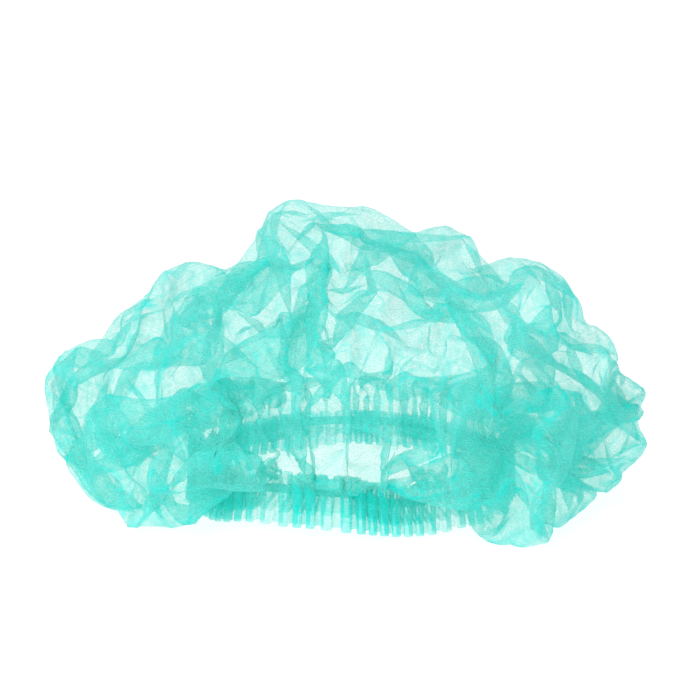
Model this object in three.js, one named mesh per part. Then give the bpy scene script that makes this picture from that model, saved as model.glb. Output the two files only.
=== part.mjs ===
// A disposable bouffant surgical cap, standing on its gathered rim.
// Millimetres, +Z up. +X is the right of the front view, -Y faces the viewer.
// The origin is on the floor, at the middle of the cap's bounding box.
import * as THREE from "three";

// Driving dimensions
const CLOTH_WALL = 1.4; // thickness of the non-woven cloth
const BAND_RADIUS = 72; // middle line of the elastic
const BAND_HEIGHT = 25; // from the frill's edge to the crown
const FRILL_HEIGHT = 7; // single cloth hanging below the elastic's channel
const HEM_HEIGHT = 22; // top of the cloth that is turned in behind the elastic
const GATHERS = 36; // gathers round the rim
const PINCH = 1.6; // from the elastic's line to a cloth wall, where a gather is tight
const PUFF_DEPTH = 3; // how much further the wall stands between two gathers
const FRILL_FLARE = 1.5; // how far the frill's edge spreads
const ARCH_RISE = 6.5; // how far the rim is lifted off the floor at the front
const ARCH_AZIMUTH = 254; // middle of the lifted part, in degrees
const ARCH_SPREAD = 26; // from its middle to where it has dropped to about a third, in degrees
const ELASTIC_WIDTH = 4;
const ELASTIC_THICKNESS = 1.2;
const ELASTIC_MIDDLE = 16; // height of the elastic's middle
const SEAT_GAP = 0.3; // between pieces that lie against each other
const WAIST_RISE = 9; // how far the crown climbs from the rim before it turns over
const WAIST_LEAN = 4; // how far it leans out on the way
const TOP_HEIGHT = 136; // middle of the crown, before its puffs and creases
const TOP_FULLNESS = 5; // how far the cloth between the middle and the shoulder stands above a cone
const GATHERS_REACH = 0.3; // share of the way up the crown over which the rim's gathers die out
const RUFFLES = 24; // soft folds that run up the crown's sides
const RUFFLE_DEPTH = 3; // from their middle to a crest
const RUFFLES_REACH = 0.8; // share of the way up the crown where they end

const CLOTH_COLOUR = 0x7fe3d8;
const CLOTH_ROUGHNESS = 0.8;
const ELASTIC_COLOUR = 0xdff2ee;
const ELASTIC_ROUGHNESS = 0.6;

// Each row of a table as an object with the columns' names.
const table = (columns, rows) =>
  rows.map((row) => Object.fromEntries(columns.map((column, i) => [column, row[i]])));

// The crown's meridians, one row for each section round the cap.
// azimuth runs from +X towards +Y in degrees, so 90 is the back and 270 the front.
// droop is the lowest point of the overhang, belly the widest point, shoulder the turn to the top.
const SECTIONS = table(
  ["azimuth", "droopReach", "droopHeight", "bellyReach", "bellyHeight", "shoulderReach", "shoulderHeight"],
  [
    [0, 114, 8, 142, 33, 113, 96],
    [30, 112, 8, 137, 35, 106, 95],
    [60, 106, 10, 127, 39, 96, 95],
    [90, 100, 13, 121, 42, 90, 97],
    [120, 105, 9, 127, 39, 95, 93],
    [150, 113, 6, 138, 36, 104, 86],
    [180, 117, 6, 143, 40, 113, 87],
    [200, 112, 4, 133, 32, 107, 85],
    [217, 103, 3, 118, 30, 98, 86],
    [235, 89, 21, 102, 46, 84, 95],
    [255, 84, 45, 92, 64, 72, 105],
    [275, 84, 44, 93, 62, 72, 105],
    [297, 96, 19, 107, 42, 82, 100],
    [315, 114, 3, 126, 26, 98, 94],
    [334, 108, 9, 130, 32, 107, 94],
  ],
);

// Puffs and ridges of the crumpled crown, with rise above 0, and its valleys and dents, with rise below 0.
// Each follows a straight line between two places on the crown: azimuth, and along from rim 0 to top 1.
const RELIEF = table(
  ["name", "fromAzimuth", "fromAlong", "toAzimuth", "toAlong", "rise", "spread"],
  [
    ["peak", 262, 0.86, 118, 0.87, 13, 26],
    ["peak, upper left", 222, 0.86, 150, 0.87, 9, 18],
    ["valley left of the peak", 228, 0.63, 130, 0.63, -18, 18],
    ["valley right of the peak", 298, 0.66, 66, 0.7, -9, 15],
    ["left top", 172, 0.64, 140, 0.68, 5, 20],
    ["left lower lobe", 186, 0.44, 172, 0.44, 5, 16],
    ["left notch", 200, 0.55, 152, 0.54, -9, 13],
    ["right notch", 346, 0.52, 28, 0.51, -10, 13],
    ["right lower lobe", 12, 0.34, 30, 0.34, 5, 15],
    ["right front roll", 338, 0.54, 312, 0.4, 7, 12],
    ["right front pocket", 304, 0.4, 314, 0.48, -9, 13],
    ["left front valley", 222, 0.52, 234, 0.4, -8, 12],
    ["left front roll", 206, 0.5, 220, 0.36, 6, 12],
    ["front gather, left", 257, 0.2, 256, 0.55, 4, 7],
    ["front gather, middle", 268, 0.2, 270, 0.5, 4, 7],
    ["front gather, right", 281, 0.2, 283, 0.55, 4, 7],
    ["back ridge, left", 128, 0.3, 120, 0.75, 7, 14],
    ["back valley", 96, 0.3, 92, 0.7, -7, 13],
    ["back ridge, right", 62, 0.3, 68, 0.75, 7, 14],
    ["back right valley", 40, 0.4, 42, 0.7, -5, 13],
    ["back left valley", 148, 0.4, 146, 0.6, -5, 13],
  ],
);

// Rings of points over the crown, from the rim to the top: fewer points where the rings are short.
const RIM_POINTS = GATHERS * 3;
const RING_BANDS = table(
  ["points", "rings", "to"],
  [
    [RIM_POINTS, 3, 0.1],
    [RIM_POINTS, 13, 0.74],
    [RIM_POINTS / 2, 5, 0.97],
  ],
);

// The sizes of the section at an azimuth, on smooth curves through the rows of SECTIONS.
function sectionAt(azimuth) {
  const start = SECTIONS.findLastIndex((row) => row.azimuth <= azimuth);
  const row = (step) => SECTIONS.at((start + step) % SECTIONS.length);
  const span = (row(1).azimuth - row(0).azimuth + 360) % 360;
  const share = (azimuth - row(0).azimuth) / span;
  const section = {};
  for (const column of Object.keys(SECTIONS[0])) {
    const [before, low, high, after] = [-1, 0, 1, 2].map((step) => row(step)[column]);
    const curve = new THREE.SplineCurve([before, low, high, after].map((size) => new THREE.Vector2(size, 0)));
    section[column] = curve.getPoint((1 + share) / 3).x;
  }
  return section;
}

// How far a cloth wall of the rim stands from the elastic's line: pinched at each gather, puffed between.
function puffAt(azimuth) {
  const angle = THREE.MathUtils.degToRad(azimuth);
  const uneven = 1 + 0.2 * Math.cos(7 * angle + 1) + 0.15 * Math.cos(3 * angle);
  return PINCH + (PUFF_DEPTH / 2) * uneven * (1 - Math.cos(GATHERS * angle));
}

// How far the rim is lifted off the floor at an azimuth.
function archAt(azimuth) {
  const away = ((azimuth - ARCH_AZIMUTH + 540) % 360) - 180;
  return ARCH_RISE * Math.exp(-((away / ARCH_SPREAD) ** 4));
}

function azimuthOf(x, y) {
  return (THREE.MathUtils.radToDeg(Math.atan2(y, x)) + 360) % 360;
}

// Lifts a level ring of the rim to its arch.
function arched(geometry) {
  const { position } = geometry.attributes;
  for (let i = 0; i < position.count; i++) {
    const azimuth = azimuthOf(position.getX(i), position.getY(i));
    position.setZ(i, position.getZ(i) + archAt(azimuth));
  }
  return geometry;
}

// The crown's meridian at an azimuth, as reach and height from the rim's top to the middle of the crown.
function meridianAt(azimuth) {
  const section = sectionAt(azimuth);
  const start = BAND_RADIUS + PINCH + PUFF_DEPTH / 2;
  const halfHeight = (TOP_HEIGHT + section.shoulderHeight) / 2 + TOP_FULLNESS;
  return new THREE.SplineCurve([
    new THREE.Vector2(start, BAND_HEIGHT + SEAT_GAP),
    new THREE.Vector2(start + WAIST_LEAN, BAND_HEIGHT + WAIST_RISE),
    new THREE.Vector2(section.droopReach, section.droopHeight),
    new THREE.Vector2(section.bellyReach, section.bellyHeight),
    new THREE.Vector2(section.shoulderReach, section.shoulderHeight),
    new THREE.Vector2(section.shoulderReach / 2, halfHeight),
    new THREE.Vector2(0, TOP_HEIGHT),
  ]);
}

// A place on the crown before its relief: along is 0 at the rim and 1 at the top.
function crownPoint(azimuth, along) {
  const { x: reach, y: height } = meridianAt(azimuth).getPointAt(along);
  const angle = THREE.MathUtils.degToRad(azimuth);
  const nearRim = Math.max(0, 1 - along / GATHERS_REACH);
  const gathered = (puffAt(azimuth) - PINCH - PUFF_DEPTH / 2) * nearRim;
  const onSide = Math.sin(Math.PI * Math.min(1, along / RUFFLES_REACH));
  const ruffled = RUFFLE_DEPTH * onSide * Math.cos(RUFFLES * angle + Math.sin(2 * angle));
  const radius = reach + gathered + ruffled;
  const lifted = height + archAt(azimuth) * nearRim;
  return new THREE.Vector3(radius * Math.cos(angle), radius * Math.sin(angle), lifted);
}

// How far the relief lifts a place on the crown out of its smooth form.
const RELIEF_LINES = RELIEF.map((row) => ({
  ...row,
  line: new THREE.Line3(crownPoint(row.fromAzimuth, row.fromAlong), crownPoint(row.toAzimuth, row.toAlong)),
}));
function reliefAt(place) {
  const nearest = new THREE.Vector3();
  let lift = 0;
  for (const { line, rise, spread } of RELIEF_LINES) {
    const away = line.closestPointToPoint(place, true, nearest).distanceTo(place);
    lift += rise * Math.exp(-((away / spread) ** 2));
  }
  return lift;
}

// Triangles between two rings that start at azimuth 0, where the upper ring may have fewer points.
function stitchRings(lower, upper, triangles) {
  const ratio = lower.length / upper.length;
  upper.forEach((point, i) => {
    const next = upper[(i + 1) % upper.length];
    for (let step = 0; step < ratio; step++) {
      const start = i * ratio + step;
      triangles.push(lower[start], lower[(start + 1) % lower.length], step < ratio / 2 ? point : next);
    }
    triangles.push(point, lower[(i * ratio + Math.ceil(ratio / 2)) % lower.length], next);
  });
}

// The crown's cloth as one sheet, with the numbers of the points round its rim.
function crownSheet() {
  const places = [];
  const triangles = [];
  const rings = [];
  const addRing = (points, along) => {
    const azimuths = Array.from({ length: points }, (_, i) => (360 * i) / points);
    const ring = azimuths.map((azimuth) => places.push(crownPoint(azimuth, along)) - 1);
    if (rings.length > 0) stitchRings(rings.at(-1), ring, triangles);
    rings.push(ring);
  };
  addRing(RIM_POINTS, 0);
  let from = 0;
  for (const { points, rings: count, to } of RING_BANDS) {
    for (let i = 1; i <= count; i++) addRing(points, from + ((to - from) * i) / count);
    from = to;
  }
  const top = places.push(crownPoint(0, 1)) - 1;
  const last = rings.at(-1);
  last.forEach((point, i) => triangles.push(point, last[(i + 1) % last.length], top));

  const geometry = new THREE.BufferGeometry().setFromPoints(places).setIndex(triangles);
  geometry.computeVertexNormals();
  const out = new THREE.Vector3();
  const raised = places.map((place, i) => {
    out.fromBufferAttribute(geometry.attributes.normal, i);
    return place.clone().addScaledVector(out, reliefAt(place));
  });
  geometry.setFromPoints(raised);
  geometry.computeVertexNormals();
  return { geometry, rim: rings[0] };
}

// A sheet with the cloth's thickness, closed along its rim.
function thicken({ geometry, rim }) {
  const { position, normal } = geometry.attributes;
  const count = position.count;
  const places = [];
  for (const side of [CLOTH_WALL / 2, -CLOTH_WALL / 2]) {
    for (let i = 0; i < count; i++) {
      const place = new THREE.Vector3().fromBufferAttribute(position, i);
      const out = new THREE.Vector3().fromBufferAttribute(normal, i);
      places.push(place.addScaledVector(out, side));
    }
  }
  for (const point of rim) {
    for (const edge of [places[point], places[point + count]]) {
      edge.z = BAND_HEIGHT + SEAT_GAP + archAt(azimuthOf(edge.x, edge.y));
    }
  }
  const outside = [...geometry.index.array];
  const triangles = [...outside];
  for (let i = 0; i < outside.length; i += 3) {
    triangles.push(outside[i] + count, outside[i + 2] + count, outside[i + 1] + count);
  }
  rim.forEach((point, i) => {
    const next = rim[(i + 1) % rim.length];
    triangles.push(next, point, point + count, next, point + count, next + count);
  });
  return new THREE.BufferGeometry().setFromPoints(places).setIndex(triangles);
}

// The rim's section at an azimuth, once round it, as distance from the elastic's line and height.
// The outer wall hangs down as the frill; the turned-in wall makes a channel that is open at the top.
function casingSection(azimuth) {
  const wall = puffAt(azimuth);
  const out = wall + CLOTH_WALL / 2;
  const inside = wall - CLOTH_WALL / 2;
  const channelFloor = FRILL_HEIGHT + CLOTH_WALL;
  return [
    [out + FRILL_FLARE, 0],
    [out, FRILL_HEIGHT],
    [out, BAND_HEIGHT],
    [inside, BAND_HEIGHT],
    [inside, channelFloor],
    [-inside, channelFloor],
    [-inside, HEM_HEIGHT],
    [-out, HEM_HEIGHT],
    [-out, FRILL_HEIGHT],
    [inside, FRILL_HEIGHT],
    [inside + FRILL_FLARE, 0],
  ];
}

function casingGeometry() {
  const places = [];
  const triangles = [];
  const corners = casingSection(0).length;
  for (let i = 0; i < RIM_POINTS; i++) {
    const azimuth = (360 * i) / RIM_POINTS;
    const angle = THREE.MathUtils.degToRad(azimuth);
    for (const [away, height] of casingSection(azimuth)) {
      const radius = BAND_RADIUS + away;
      places.push(new THREE.Vector3(radius * Math.cos(angle), radius * Math.sin(angle), height));
    }
    const here = i * corners;
    const there = ((i + 1) % RIM_POINTS) * corners;
    for (let corner = 0; corner < corners; corner++) {
      const next = (corner + 1) % corners;
      triangles.push(here + corner, there + corner, there + next, here + corner, there + next, here + next);
    }
  }
  return new THREE.BufferGeometry().setFromPoints(places).setIndex(triangles);
}

function elasticGeometry() {
  const inner = BAND_RADIUS - ELASTIC_THICKNESS / 2;
  const outer = BAND_RADIUS + ELASTIC_THICKNESS / 2;
  const low = ELASTIC_MIDDLE - ELASTIC_WIDTH / 2;
  const high = ELASTIC_MIDDLE + ELASTIC_WIDTH / 2;
  const profile = [
    new THREE.Vector2(inner, low),
    new THREE.Vector2(outer, low),
    new THREE.Vector2(outer, high),
    new THREE.Vector2(inner, high),
    new THREE.Vector2(inner, low),
  ];
  return new THREE.LatheGeometry(profile, RIM_POINTS).rotateX(Math.PI / 2);
}

function piece(name, geometry, color, roughness) {
  const mesh = new THREE.Mesh(geometry, new THREE.MeshStandardMaterial({ color, roughness, metalness: 0 }));
  mesh.name = name;
  return mesh;
}

const onRim = new THREE.Group();
onRim.add(
  piece("crown", thicken(crownSheet()), CLOTH_COLOUR, CLOTH_ROUGHNESS),
  piece("rim_casing", arched(casingGeometry()), CLOTH_COLOUR, CLOTH_ROUGHNESS),
  piece("elastic_band", arched(elasticGeometry()), ELASTIC_COLOUR, ELASTIC_ROUGHNESS),
);

// The rim stands where it puts the bounding box's middle over the origin.
const middle = new THREE.Box3().setFromObject(onRim).getCenter(new THREE.Vector3());
onRim.position.set(-middle.x, -middle.y, 0);

const cap = new THREE.Group();
cap.add(onRim);

export default cap;
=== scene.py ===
"""A disposable bouffant surgical cap: a crumpled non-woven crown over a gathered, elasticated rim."""

import math

import bpy
import numpy as np
from bpy.props import FloatProperty, FloatVectorProperty, IntProperty, PointerProperty
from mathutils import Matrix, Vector


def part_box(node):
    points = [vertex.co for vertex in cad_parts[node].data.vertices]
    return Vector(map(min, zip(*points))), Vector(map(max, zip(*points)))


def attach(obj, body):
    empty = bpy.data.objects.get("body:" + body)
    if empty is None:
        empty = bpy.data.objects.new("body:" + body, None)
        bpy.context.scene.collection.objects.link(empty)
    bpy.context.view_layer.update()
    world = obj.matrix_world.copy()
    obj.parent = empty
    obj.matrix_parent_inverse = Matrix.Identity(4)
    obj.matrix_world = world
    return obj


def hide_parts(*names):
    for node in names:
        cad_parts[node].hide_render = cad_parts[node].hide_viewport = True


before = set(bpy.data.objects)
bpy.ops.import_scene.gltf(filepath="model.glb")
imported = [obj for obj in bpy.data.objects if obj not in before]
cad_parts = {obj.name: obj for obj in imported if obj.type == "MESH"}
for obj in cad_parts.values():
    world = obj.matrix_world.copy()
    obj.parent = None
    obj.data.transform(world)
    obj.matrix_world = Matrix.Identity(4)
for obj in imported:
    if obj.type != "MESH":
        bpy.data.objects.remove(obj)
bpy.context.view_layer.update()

bl_info = {
    "name": "Surgical cap",
    "version": (1, 0, 0),
    "blender": (4, 5, 0),
    "location": "3D View > Sidebar > Surgical cap",
    "description": "Builds a gathered non-woven cap around its packed solids",
    "category": "Object",
}

MM = 0.001
BODY = "root"


def linear(code):
    """Linear red, green and blue of an sRGB hex colour."""
    shares = [int(code[i : i + 2], 16) / 255 for i in (0, 2, 4)]
    return tuple(s / 12.92 if s <= 0.04045 else ((s + 0.055) / 1.055) ** 2.4 for s in shares)


def metres(name, description, default):
    """A size in metres that a user may change."""
    return FloatProperty(name=name, description=description, default=default, unit="LENGTH")


def colour(name, description, code):
    """A colour that a user may change, from its sRGB hex value."""
    return FloatVectorProperty(name=name, description=description, default=linear(code), subtype="COLOR")


# The middle of the rim, where the elastic's solid stands in the shared frame.
ELASTIC_LOW, ELASTIC_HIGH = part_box("elastic_band")
RIM_CENTRE = (ELASTIC_LOW + ELASTIC_HIGH) / 2

# The crown's meridians in millimetres, one row for each section round the cap.
# azimuth runs from +X towards +Y in degrees, so 90 is the back and 270 the front.
# Columns: azimuth, droop reach and height, belly reach and height, shoulder reach and height.
SECTIONS = np.array(
    [
        (0, 114, 8, 139, 31, 108, 98),
        (30, 112, 8, 134, 33, 103, 98),
        (60, 104, 18, 127, 41, 96, 95),
        (90, 98, 24, 121, 46, 90, 97),
        (120, 103, 18, 127, 41, 95, 93),
        (150, 113, 6, 138, 36, 104, 86),
        (180, 115, 6, 139, 38, 111, 87),
        (200, 112, 4, 133, 32, 107, 85),
        (217, 103, 3, 118, 30, 98, 86),
        (235, 89, 21, 102, 46, 84, 95),
        (255, 84, 45, 92, 64, 72, 105),
        (275, 84, 44, 93, 62, 72, 105),
        (297, 96, 19, 107, 42, 82, 100),
        (315, 114, 3, 126, 26, 98, 94),
        (334, 108, 9, 128, 30, 102, 96),
    ],
    float,
)

# Puffs and ridges of the crown, with rise above 0, and its valleys, with rise below 0, in millimetres.
# Columns: from azimuth and along, to azimuth and along, rise, spread. along is 0 at the rim, 1 at the top.
RELIEF = {
    "peak": (262, 0.86, 118, 0.87, 8, 26),
    "peak, upper left": (222, 0.86, 150, 0.87, 6, 17),
    "valley left of the peak": (228, 0.63, 130, 0.63, -21, 11),
    "peak's left slope": (232, 0.75, 126, 0.75, 4, 13),
    "valley right of the peak": (298, 0.66, 66, 0.70, -7, 11),
    "ridge right of the valley": (318, 0.7, 50, 0.72, 6, 12),
    "left top": (190, 0.66, 138, 0.68, 6, 16),
    "left lower lobe": (188, 0.42, 170, 0.42, 9, 15),
    "left notch": (202, 0.55, 150, 0.54, -13, 9),
    "left upper notch": (200, 0.66, 148, 0.68, -10, 8),
    "right notch": (346, 0.52, 30, 0.52, -17, 10),
    "right upper notch": (338, 0.66, 36, 0.68, -9, 8),
    "right lower lobe": (12, 0.34, 30, 0.34, 6, 13),
    "right front roll": (338, 0.52, 312, 0.36, 5, 10),
    "right front valley": (342, 0.40, 322, 0.30, -7, 9),
    "right front pocket": (306, 0.36, 318, 0.44, -10, 11),
    "left front valley": (222, 0.50, 236, 0.34, -7, 9),
    "left front roll": (208, 0.46, 226, 0.28, 5, 9),
    "back ridge, left": (128, 0.25, 120, 0.75, 6, 12),
    "back valley": (96, 0.2, 92, 0.7, -7, 11),
    "back ridge, right": (62, 0.25, 68, 0.75, 6, 12),
    "back right valley": (42, 0.3, 44, 0.7, -6, 10),
    "back left valley": (148, 0.3, 146, 0.6, -6, 10),
}


class CapCrownSettings(bpy.types.PropertyGroup):
    """Sizes of the crown's cloth before and while it crumples."""

    cut: metres("Cut", "Width of the flat round cut", 0.53)
    top: metres("Top", "Height of the crown's middle before it crumples", 0.136)
    inset: metres("Inset", "How far inside the form the cloth starts", 0.006)
    pleat_depth: metres("Pleat depth", "Depth of the folds that run up from the rim", 0.0035)
    rings: IntProperty(
        name="Rings",
        description="Rings of points from the middle to the rim, before they are doubled",
        default=9,
    )
    slack_up: FloatProperty(
        name="Slack up",
        description="Spare length of the cloth from rim to top",
        default=0.15,
    )
    gathers_reach: FloatProperty(
        name="Gathers reach",
        description="Share of the way up over which the rim's gathers die out",
        default=0.42,
    )
    proud: metres("Proud", "How far the cloth may stand out of its form", 0.008)
    sink: metres("Sink", "How far the cloth may sink into its form", 0.045)
    seed: IntProperty(name="Seed", description="Start of the random unevenness", default=21)


class CapRimSettings(bpy.types.PropertyGroup):
    """Sizes of the gathered rim."""

    height: metres("Height", "From the frill's edge to the crown", 0.025)
    pleats: IntProperty(name="Pleats", description="Gathers round the rim", default=36)
    lean: FloatProperty(
        name="Lean", description="How far a pleat folds over itself, as a share of its width", default=0.24
    )
    depth: metres("Depth", "From a pleat's middle to its crest", 0.003)
    arch: metres("Arch", "How far the rim rises from the floor at the front", 0.0065)
    outer_reach: metres("Outer reach", "Outer wall's middle line", 0.0769)
    inner_reach: metres("Inner reach", "Turned-in wall's middle line", 0.0671)
    frill: metres("Frill", "Height of the single cloth below the channel", 0.007)
    hem: metres("Hem", "Top of the turned-in wall", 0.022)


class CapElasticSettings(bpy.types.PropertyGroup):
    """Sizes of the elastic in the rim."""

    reach: metres("Reach", "Middle line of the elastic", 0.072)
    middle: metres("Middle", "Height of the elastic's middle", 0.016)
    width: metres("Width", "Width of the elastic", 0.0038)
    thickness: metres("Thickness", "Thickness between the courses", 0.0009)
    courses: IntProperty(name="Courses", description="Knitted courses across the elastic", default=300)
    course_width: metres("Course width", "Width of a course", 0.0008)
    course_rise: metres("Course rise", "How far a course stands proud", 0.0001)


class CapFinishSettings(bpy.types.PropertyGroup):
    """Colours of the cloth and the elastic."""

    face: colour("Face", "Cloth between its folds", "A2F6F3")
    # Fold is painted shade: a darker, more saturated colour laid along sharp folds and crease lines, where
    # cloth seen edge-on looks darker. The fibres packed there give part of it.
    fold: colour("Fold", "Cloth along a sharp fold, where its fibres are packed", "10ECE4")
    through: colour("Through", "Light that is scattered through the cloth", "54F8F2")
    tint: colour("Tint", "Light that passes between the fibres", "F8FCFA")
    elastic: colour("Elastic", "Yarn of the elastic's wales", "9CEEE6")
    elastic_gap: colour("Elastic gap", "Between the elastic's wales", "5CDCD4")
    floor: colour("Floor", "Plain pale floor", "9A9A9A")
    cover: FloatProperty(
        name="Cover",
        description="Share of the light that one layer of cloth stops",
        default=0.28,
        subtype="FACTOR",
    )


class CapStageSettings(bpy.types.PropertyGroup):
    """Camera and light."""

    elevation: FloatProperty(
        name="Elevation",
        description="Camera's angle above the floor",
        default=math.radians(14.5),
        subtype="ANGLE",
    )
    distance: metres("Distance", "Camera to the cap's middle", 1.3)
    target_height: metres("Target height", "Height that the camera looks at", 0.0715)
    view_width: metres("View width", "Width of the picture at the cap's middle", 0.336)
    panel_light: FloatProperty(
        name="Panel light",
        description="Power of the soft panel",
        default=51.5,
        unit="POWER",
    )
    world_light: FloatProperty(
        name="World light",
        description="Strength of the white surroundings",
        default=0.56,
    )
    floor_glow: FloatProperty(
        name="Floor glow",
        description="Light of the floor itself, as on a light table",
        default=0.85,
    )


class CapSettings(bpy.types.PropertyGroup):
    """All the cap's settings."""

    crown: PointerProperty(type=CapCrownSettings)
    rim: PointerProperty(type=CapRimSettings)
    elastic: PointerProperty(type=CapElasticSettings)
    finish: PointerProperty(type=CapFinishSettings)
    stage: PointerProperty(type=CapStageSettings)


def sections_at(azimuth):
    """Droop, belly and shoulder sizes at each azimuth, on smooth curves through the rows of SECTIONS."""
    count = len(SECTIONS)
    wrapped = np.mod(azimuth, 360)
    start = np.searchsorted(SECTIONS[:, 0], wrapped, side="right") - 1
    before, low, high, after = (SECTIONS[(start + step) % count] for step in (-1, 0, 1, 2))
    span = np.mod(high[:, 0] - low[:, 0], 360)
    share = ((wrapped - low[:, 0]) / span)[:, None]
    return hermite(before[:, 1:], low[:, 1:], high[:, 1:], after[:, 1:], share)


def hermite(before, low, high, after, share):
    """A Catmull-Rom curve between low and high."""
    start_slope = (high - before) / 2
    end_slope = (after - low) / 2
    rise = high - low
    cubic = start_slope + end_slope - 2 * rise
    square = 3 * rise - 2 * start_slope - end_slope
    return low + share * (start_slope + share * (square + share * cubic))


# Points along a meridian, where the rim arches off the floor and how widely in degrees,
# and how the crown leaves the rim and rounds its top in millimetres.
MERIDIAN_STEPS = 200
ARCH_AZIMUTH = 254
ARCH_SPREAD = 26
WAIST_RISE = 9
WAIST_LEAN = 4
TOP_FULLNESS = 5


def meridian_grid(azimuths, alongs, crown, rim):
    """Smooth form of the crown in millimetres: a point for each azimuth and each share of the way up."""
    sizes = sections_at(azimuths)
    count = len(azimuths)
    start = rim.outer_reach / MM
    band_top = rim.height / MM
    top = crown.top / MM

    def column(reach, height):
        return np.stack([np.broadcast_to(reach, count), np.broadcast_to(height, count)], 1)

    corners = np.stack(
        [
            column(start, band_top),
            column(start + WAIST_LEAN, band_top + WAIST_RISE),
            sizes[:, 0:2],
            sizes[:, 2:4],
            sizes[:, 4:6],
            column(sizes[:, 4] / 2, (top + sizes[:, 5]) / 2 + TOP_FULLNESS),
            column(0, top),
        ],
        1,
    )
    last = corners.shape[1] - 1
    place = np.linspace(0, 1, MERIDIAN_STEPS + 1) * last
    piece = np.minimum(np.floor(place).astype(int), last - 1)
    share = (place - piece)[None, :, None]
    around = [corners[:, np.clip(piece + step, 0, last)] for step in (-1, 0, 1, 2)]
    curve = hermite(*around, share)
    lengths = np.linalg.norm(np.diff(curve, axis=1), axis=2)
    travelled = np.concatenate([np.zeros((count, 1)), np.cumsum(lengths, 1)], 1)
    travelled /= travelled[:, -1:]
    grid = np.empty((count, len(alongs), 3))
    for row, azimuth in enumerate(np.radians(azimuths)):
        reach = np.interp(alongs, travelled[row], curve[row, :, 0])
        grid[row, :, 0] = reach * math.cos(azimuth)
        grid[row, :, 1] = reach * math.sin(azimuth)
        grid[row, :, 2] = np.interp(alongs, travelled[row], curve[row, :, 1])
    return grid


def grid_normals(grid):
    """Outward directions on a grid that is closed round its first axis and ends in one point at the top."""
    round_step = np.roll(grid, -1, 0) - np.roll(grid, 1, 0)
    up_step = np.gradient(grid, axis=1)
    normals = np.cross(round_step, up_step)
    normals[:, -1] = normals[:, -2].mean(0)
    return normals / np.maximum(np.linalg.norm(normals, axis=2, keepdims=True), 1e-9)


# Degrees round the cap and shares of the way up at which the form is worked out.
GRID_AZIMUTHS = np.arange(0, 360, 0.5)
GRID_ALONGS = np.linspace(0, 1, 241)


def crown_form(crown, rim):
    """The crown's form with its puffs and valleys, as a fine grid in millimetres."""
    grid = meridian_grid(GRID_AZIMUTHS, GRID_ALONGS, crown, rim)
    lift = np.zeros(grid.shape[:2])
    for from_azimuth, from_along, to_azimuth, to_along, rise, spread in RELIEF.values():
        start = meridian_grid(np.array([from_azimuth]), np.array([from_along]), crown, rim)[0, 0]
        end = meridian_grid(np.array([to_azimuth]), np.array([to_along]), crown, rim)[0, 0]
        way = end - start
        share = np.clip((grid - start) @ way / (way @ way), 0, 1)
        away = np.linalg.norm(grid - start - share[..., None] * way, axis=2)
        lift += rise * np.exp(-((away / spread) ** 2))
    return grid + grid_normals(grid) * lift[..., None]


def sample_grid(grid, azimuth, along):
    """Places on a form's grid, between its points."""
    across = azimuth / (360 / len(GRID_AZIMUTHS))
    up = np.clip(along, 0, 1) * (len(GRID_ALONGS) - 1)
    column = np.floor(across).astype(int)
    row = np.minimum(np.floor(up).astype(int), len(GRID_ALONGS) - 2)
    u = (across - column)[:, None]
    v = (up - row)[:, None]
    here = column % len(GRID_AZIMUTHS)
    beside = (column + 1) % len(GRID_AZIMUTHS)
    low = grid[here, row] * (1 - u) + grid[beside, row] * u
    high = grid[here, row + 1] * (1 - u) + grid[beside, row + 1] * u
    return low * (1 - v) + high * v


def pleat_offsets(turn, lean, depth, width):
    """Sideways and outward offsets of a pleat that folds over itself. turn counts pleats."""
    phase = 2 * np.pi * turn
    return -lean * width * np.sin(2 * phase), depth * np.sin(phase)


# How far the pleats drift from even places, how their depth differs, and how the rim's lower edge waves.
# Columns: size, how many waves round the cap, start in radians.
PLEAT_DRIFT = [(0.2, 5, 0.4), (0.08, 11, 2), (0.05, 17, 0)]
PLEAT_DEPTHS = [(0.16, 3, 1), (0.14, 7, 0), (0.1, 13, 2)]
EDGE_WAVES = [(0.8 * MM, 5, 1), (0.4 * MM, 13, 0)]
PLEAT_DEPTH_MEAN = 0.9
EDGE_HEIGHT = 1.2 * MM


def waves(angle, mean, rows):
    """A mean with waves round the cap added to it."""
    total = mean
    for size, count, start in rows:
        total = total + size * np.sin(count * angle + start)
    return total


def rim_turn(angle, pleats):
    """How many pleats have passed at an angle: they are a little uneven."""
    return pleats * angle / (2 * np.pi) + waves(angle, 0, PLEAT_DRIFT)


def rim_uneven(angle):
    """How deep the pleats are at an angle, as a share of the usual depth."""
    return waves(angle, PLEAT_DEPTH_MEAN, PLEAT_DEPTHS)


def rim_lift(angle, rim):
    """How far the rim rises from the floor at an angle, in metres: it arches a little at the front."""
    away = np.mod(np.degrees(angle) - ARCH_AZIMUTH + 180, 360) - 180
    return rim.arch * np.exp(-((away / ARCH_SPREAD) ** 4))


def rim_ring(angle, reach, lean, depth, rim, parted=0.0):
    """Plan of a pleated wall, as x and y from the rim's middle. parted is 1 where each pleat is two."""
    width = 2 * np.pi * reach / rim.pleats
    turn = rim_turn(angle, rim.pleats)
    aside, outward = pleat_offsets(turn, lean, depth, width)
    aside_parted, outward_parted = pleat_offsets(2 * turn, lean, depth, width / 2)
    aside += parted * (aside_parted - aside)
    outward += parted * (outward_parted - outward)
    radius = reach + outward * rim_uneven(angle)
    turned = angle + aside / reach
    return radius * np.cos(turned), radius * np.sin(turned)


def rim_top(angle, rim):
    """The line where the crown meets the rim, in metres from the rim's middle."""
    x, y = rim_ring(angle, rim.outer_reach, rim.lean, rim.depth, rim)
    return np.stack([x, y, rim.height + rim_lift(angle, rim)], 1)


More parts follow.
